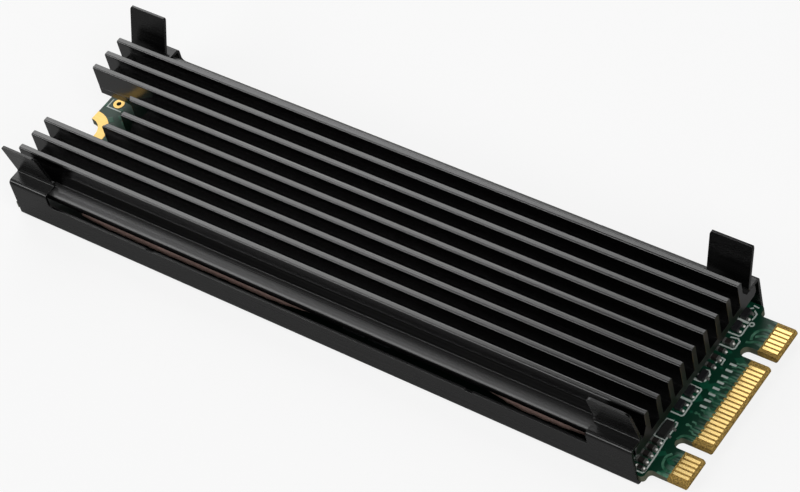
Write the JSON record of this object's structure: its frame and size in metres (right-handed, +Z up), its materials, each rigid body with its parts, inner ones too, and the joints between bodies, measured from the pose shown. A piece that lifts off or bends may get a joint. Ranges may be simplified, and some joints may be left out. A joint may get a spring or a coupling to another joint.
{
  "type": "ssd heat sink",
  "caption": "Plug-in drive module lying in a folded steel tray whose spring clips hold a finned heat sink on it.",
  "frame": {"origin": "middle of the module's length and width, on the flat underside of the tray", "axes": "+X along the module to the edge connector, +Y across it, +Z up through the fins"},
  "size_m": [0.08, 0.0228, 0.0097],
  "materials": {
    "anodised_aluminium": "black anodised, satin",
    "blackened_steel": "black coated spring steel, satin",
    "silicone_pad": "matte",
    "polymer_film": "matte",
    "solder_mask": "green lacquer on glass-epoxy laminate",
    "gold_plating": "gold plated copper",
    "moulded_epoxy": "fine matte moulding",
    "sintered_body": "sintered, satin",
    "tinned_metal": "bright tin"
  },
  "bodies": {
    "root": {"heat_sink": "anodised_aluminium", "clip_tray": "blackened_steel", "thermal_pad": "silicone_pad", "insulating_film": "polymer_film", "drive_board": "solder_mask", "screw_notch_plating": "gold_plating", "test_ring": "gold_plating", "contacts_upper": "gold_plating", "contacts_lower": "gold_plating", "memory_package_outer": "moulded_epoxy", "memory_package_inner": "moulded_epoxy", "cache_memory": "moulded_epoxy", "controller": "moulded_epoxy", "power_converter": "moulded_epoxy", "small_regulator": "moulded_epoxy", "small_diode": "moulded_epoxy", "small_transistors": "moulded_epoxy", "power_inductors": "sintered_body", "buffer_capacitors": "sintered_body", "capacitor_bank": "sintered_body", "row_capacitors": "sintered_body", "row_resistors": "moulded_epoxy", "clock_crystal": "tinned_metal", "part_terminals": "tinned_metal", "solder_joints": "tinned_metal"}
  },
  "joints": []
}
